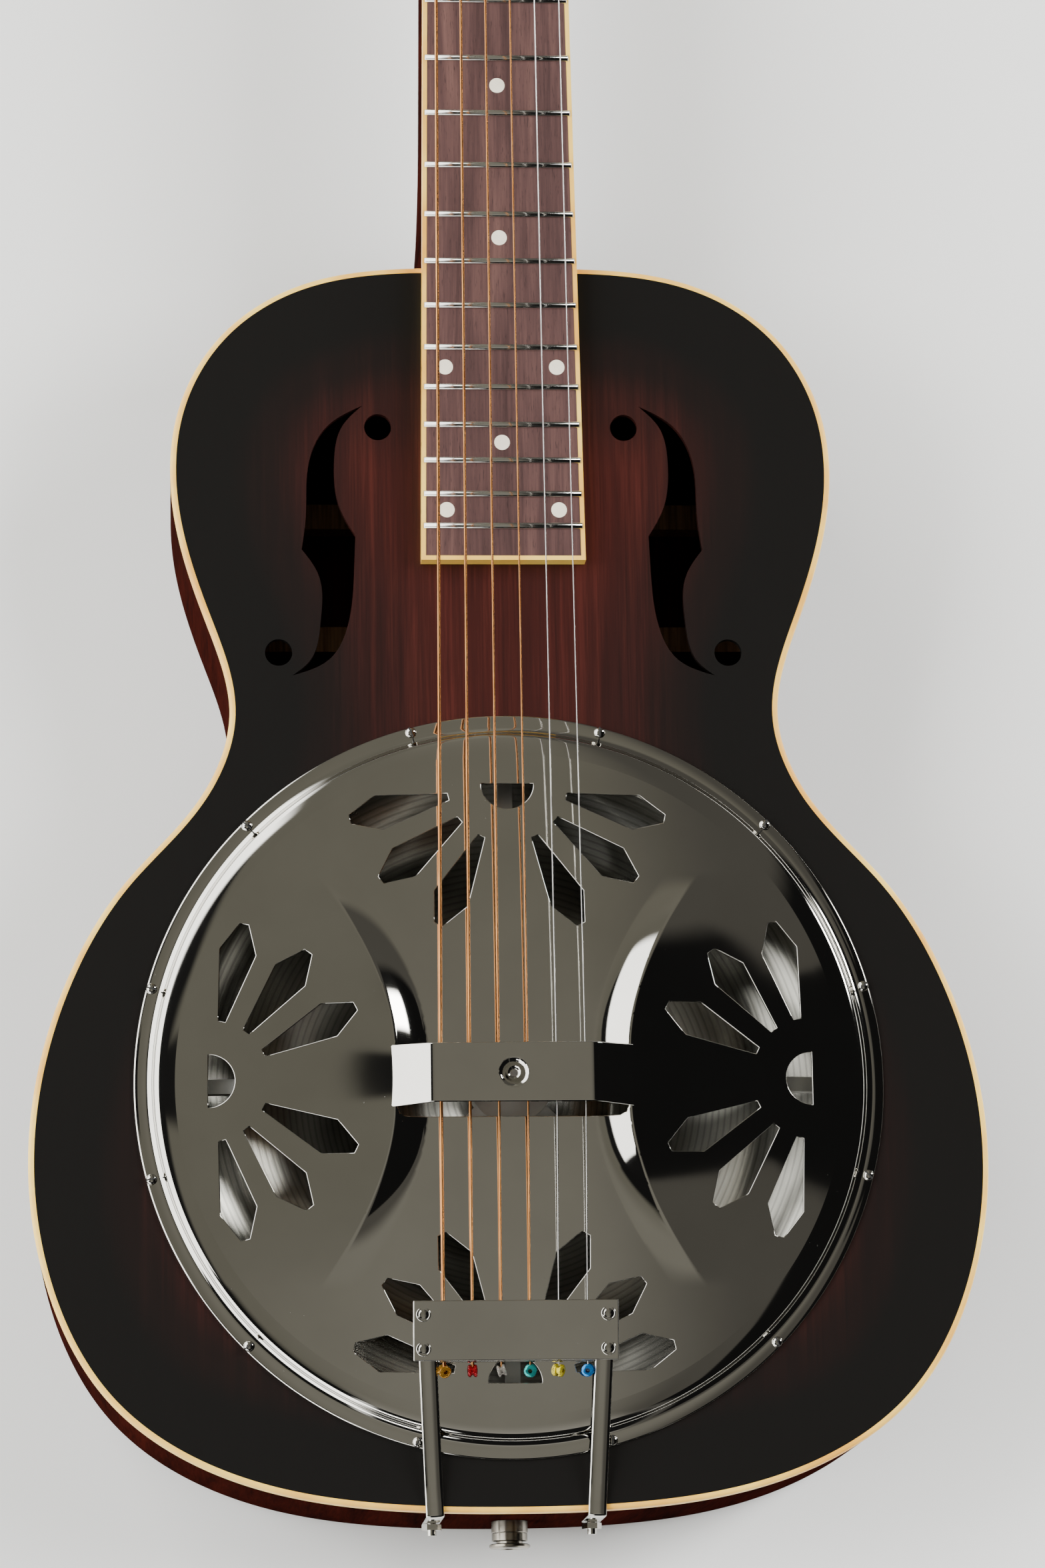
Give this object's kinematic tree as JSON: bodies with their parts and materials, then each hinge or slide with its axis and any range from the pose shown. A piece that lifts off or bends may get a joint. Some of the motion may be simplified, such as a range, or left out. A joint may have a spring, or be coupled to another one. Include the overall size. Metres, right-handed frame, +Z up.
{
  "type": "resonator guitar",
  "caption": "Square-neck wooden resonator guitar with a spun metal cone under a pressed cover plate, f-holes, trapeze tailpiece and geared tuners.",
  "frame": {"origin": "on the flat back, straight below the centre of the cone", "axes": "+Y along the neck to the headstock, +Z up out of the soundboard, +X to the treble side; the guitar lies on its back"},
  "size_m": [0.36, 0.982, 0.112],
  "materials": {
    "body_mahogany": "gloss",
    "top_sunburst": "satin",
    "cream_binding": "satin",
    "inner_wood": "raw",
    "spun_aluminium": "spun",
    "cast_aluminium": "cast",
    "maple": "satin",
    "steel": "zinc plated",
    "nickel_plate": "polished",
    "black_veneer": "gloss",
    "rosewood": "oiled",
    "fret_wire": "polished",
    "cream_marker": "polished",
    "black_marker": "polished",
    "bone": "polished",
    "coloured_balls": "anodised",
    "brass": "satin",
    "black_cable": "matte",
    "plain_steel": "polished",
    "bronze_wound": "wound"
  },
  "bodies": {
    "guitar": {"back_plate": "body_mahogany", "side_bass": "body_mahogany", "side_treble": "body_mahogany", "tail_strip": "body_mahogany", "soundboard": "top_sunburst", "top_binding": "cream_binding", "top_lining": "inner_wood", "back_lining": "inner_wood", "neck_block": "inner_wood", "tail_block": "inner_wood", "soundwell": "inner_wood", "back_braces": "inner_wood", "top_braces": "inner_wood", "cone": "spun_aluminium", "spider": "cast_aluminium", "saddle_inserts": "maple", "tension_screw": "steel", "tension_nut": "steel", "cover_plate": "nickel_plate", "cover_screws": "nickel_plate", "neck": "body_mahogany", "headstock_veneer": "black_veneer", "neck_bar": "steel", "neck_bolts": "steel", "fretboard": "rosewood", "fretboard_binding": "cream_binding", "frets": "fret_wire", "fret_markers": "cream_marker", "side_markers": "black_marker", "nut": "bone", "tuner_plates": "nickel_plate", "tuner_screws": "nickel_plate", "tuner_bushings": "nickel_plate", "string_balls": "coloured_balls", "tailpiece": "nickel_plate", "tailpiece_legs": "nickel_plate", "tailpiece_bolts": "nickel_plate", "tailpiece_rivets": "nickel_plate", "jack_nut": "nickel_plate", "output_jack": "nickel_plate", "pickup": "brass", "pickup_lead": "black_cable", "string_1": "plain_steel", "string_2": "plain_steel", "string_3": "bronze_wound", "string_4": "bronze_wound", "string_5": "bronze_wound", "string_6": "bronze_wound"},
    "button_6": {"tuner_button_6": "nickel_plate"},
    "post_6": {"tuner_post_6": "nickel_plate"},
    "button_5": {"tuner_button_5": "nickel_plate"},
    "post_5": {"tuner_post_5": "nickel_plate"},
    "button_4": {"tuner_button_4": "nickel_plate"},
    "post_4": {"tuner_post_4": "nickel_plate"},
    "button_1": {"tuner_button_1": "nickel_plate"},
    "post_1": {"tuner_post_1": "nickel_plate"},
    "button_2": {"tuner_button_2": "nickel_plate"},
    "post_2": {"tuner_post_2": "nickel_plate"},
    "button_3": {"tuner_button_3": "nickel_plate"},
    "post_3": {"tuner_post_3": "nickel_plate"}
  },
  "joints": [
    {"name": "button_turn_6", "type": "hinge", "parent": "guitar", "child": "button_6", "pos_m": [-0.0265, 0.66597, 0.05793], "axis": [-1, 0, 0], "continuous": true},
    {"name": "post_turn_6", "type": "hinge", "parent": "guitar", "child": "post_6", "pos_m": [-0.0265, 0.68017, 0.0771], "axis": [0, 0.2079, 0.9781], "continuous": true},
    {"name": "button_turn_5", "type": "hinge", "parent": "guitar", "child": "button_5", "pos_m": [-0.028, 0.70706, 0.0492], "axis": [-1, 0, 0], "continuous": true},
    {"name": "post_turn_5", "type": "hinge", "parent": "guitar", "child": "post_5", "pos_m": [-0.028, 0.72125, 0.06837], "axis": [0, 0.2079, 0.9781], "continuous": true},
    {"name": "button_turn_4", "type": "hinge", "parent": "guitar", "child": "button_4", "pos_m": [-0.0295, 0.74814, 0.04047], "axis": [-1, 0, 0], "continuous": true},
    {"name": "post_turn_4", "type": "hinge", "parent": "guitar", "child": "post_4", "pos_m": [-0.0295, 0.76233, 0.05964], "axis": [0, 0.2079, 0.9781], "continuous": true},
    {"name": "button_turn_1", "type": "hinge", "parent": "guitar", "child": "button_1", "pos_m": [0.0265, 0.66597, 0.05793], "axis": [1, 0, 0], "continuous": true},
    {"name": "post_turn_1", "type": "hinge", "parent": "guitar", "child": "post_1", "pos_m": [0.0265, 0.68017, 0.0771], "axis": [0, 0.2079, 0.9781], "continuous": true},
    {"name": "button_turn_2", "type": "hinge", "parent": "guitar", "child": "button_2", "pos_m": [0.028, 0.70706, 0.0492], "axis": [1, 0, 0], "continuous": true},
    {"name": "post_turn_2", "type": "hinge", "parent": "guitar", "child": "post_2", "pos_m": [0.028, 0.72125, 0.06837], "axis": [0, 0.2079, 0.9781], "continuous": true},
    {"name": "button_turn_3", "type": "hinge", "parent": "guitar", "child": "button_3", "pos_m": [0.0295, 0.74814, 0.04047], "axis": [1, 0, 0], "continuous": true},
    {"name": "post_turn_3", "type": "hinge", "parent": "guitar", "child": "post_3", "pos_m": [0.0295, 0.76233, 0.05964], "axis": [0, 0.2079, 0.9781], "continuous": true}
  ],
  "couplings": [
    {"joint": "post_turn_6", "follows": "button_turn_6", "ratio": 0.071429},
    {"joint": "post_turn_5", "follows": "button_turn_5", "ratio": 0.071429},
    {"joint": "post_turn_4", "follows": "button_turn_4", "ratio": 0.071429},
    {"joint": "post_turn_1", "follows": "button_turn_1", "ratio": 0.071429},
    {"joint": "post_turn_2", "follows": "button_turn_2", "ratio": 0.071429},
    {"joint": "post_turn_3", "follows": "button_turn_3", "ratio": 0.071429}
  ]
}
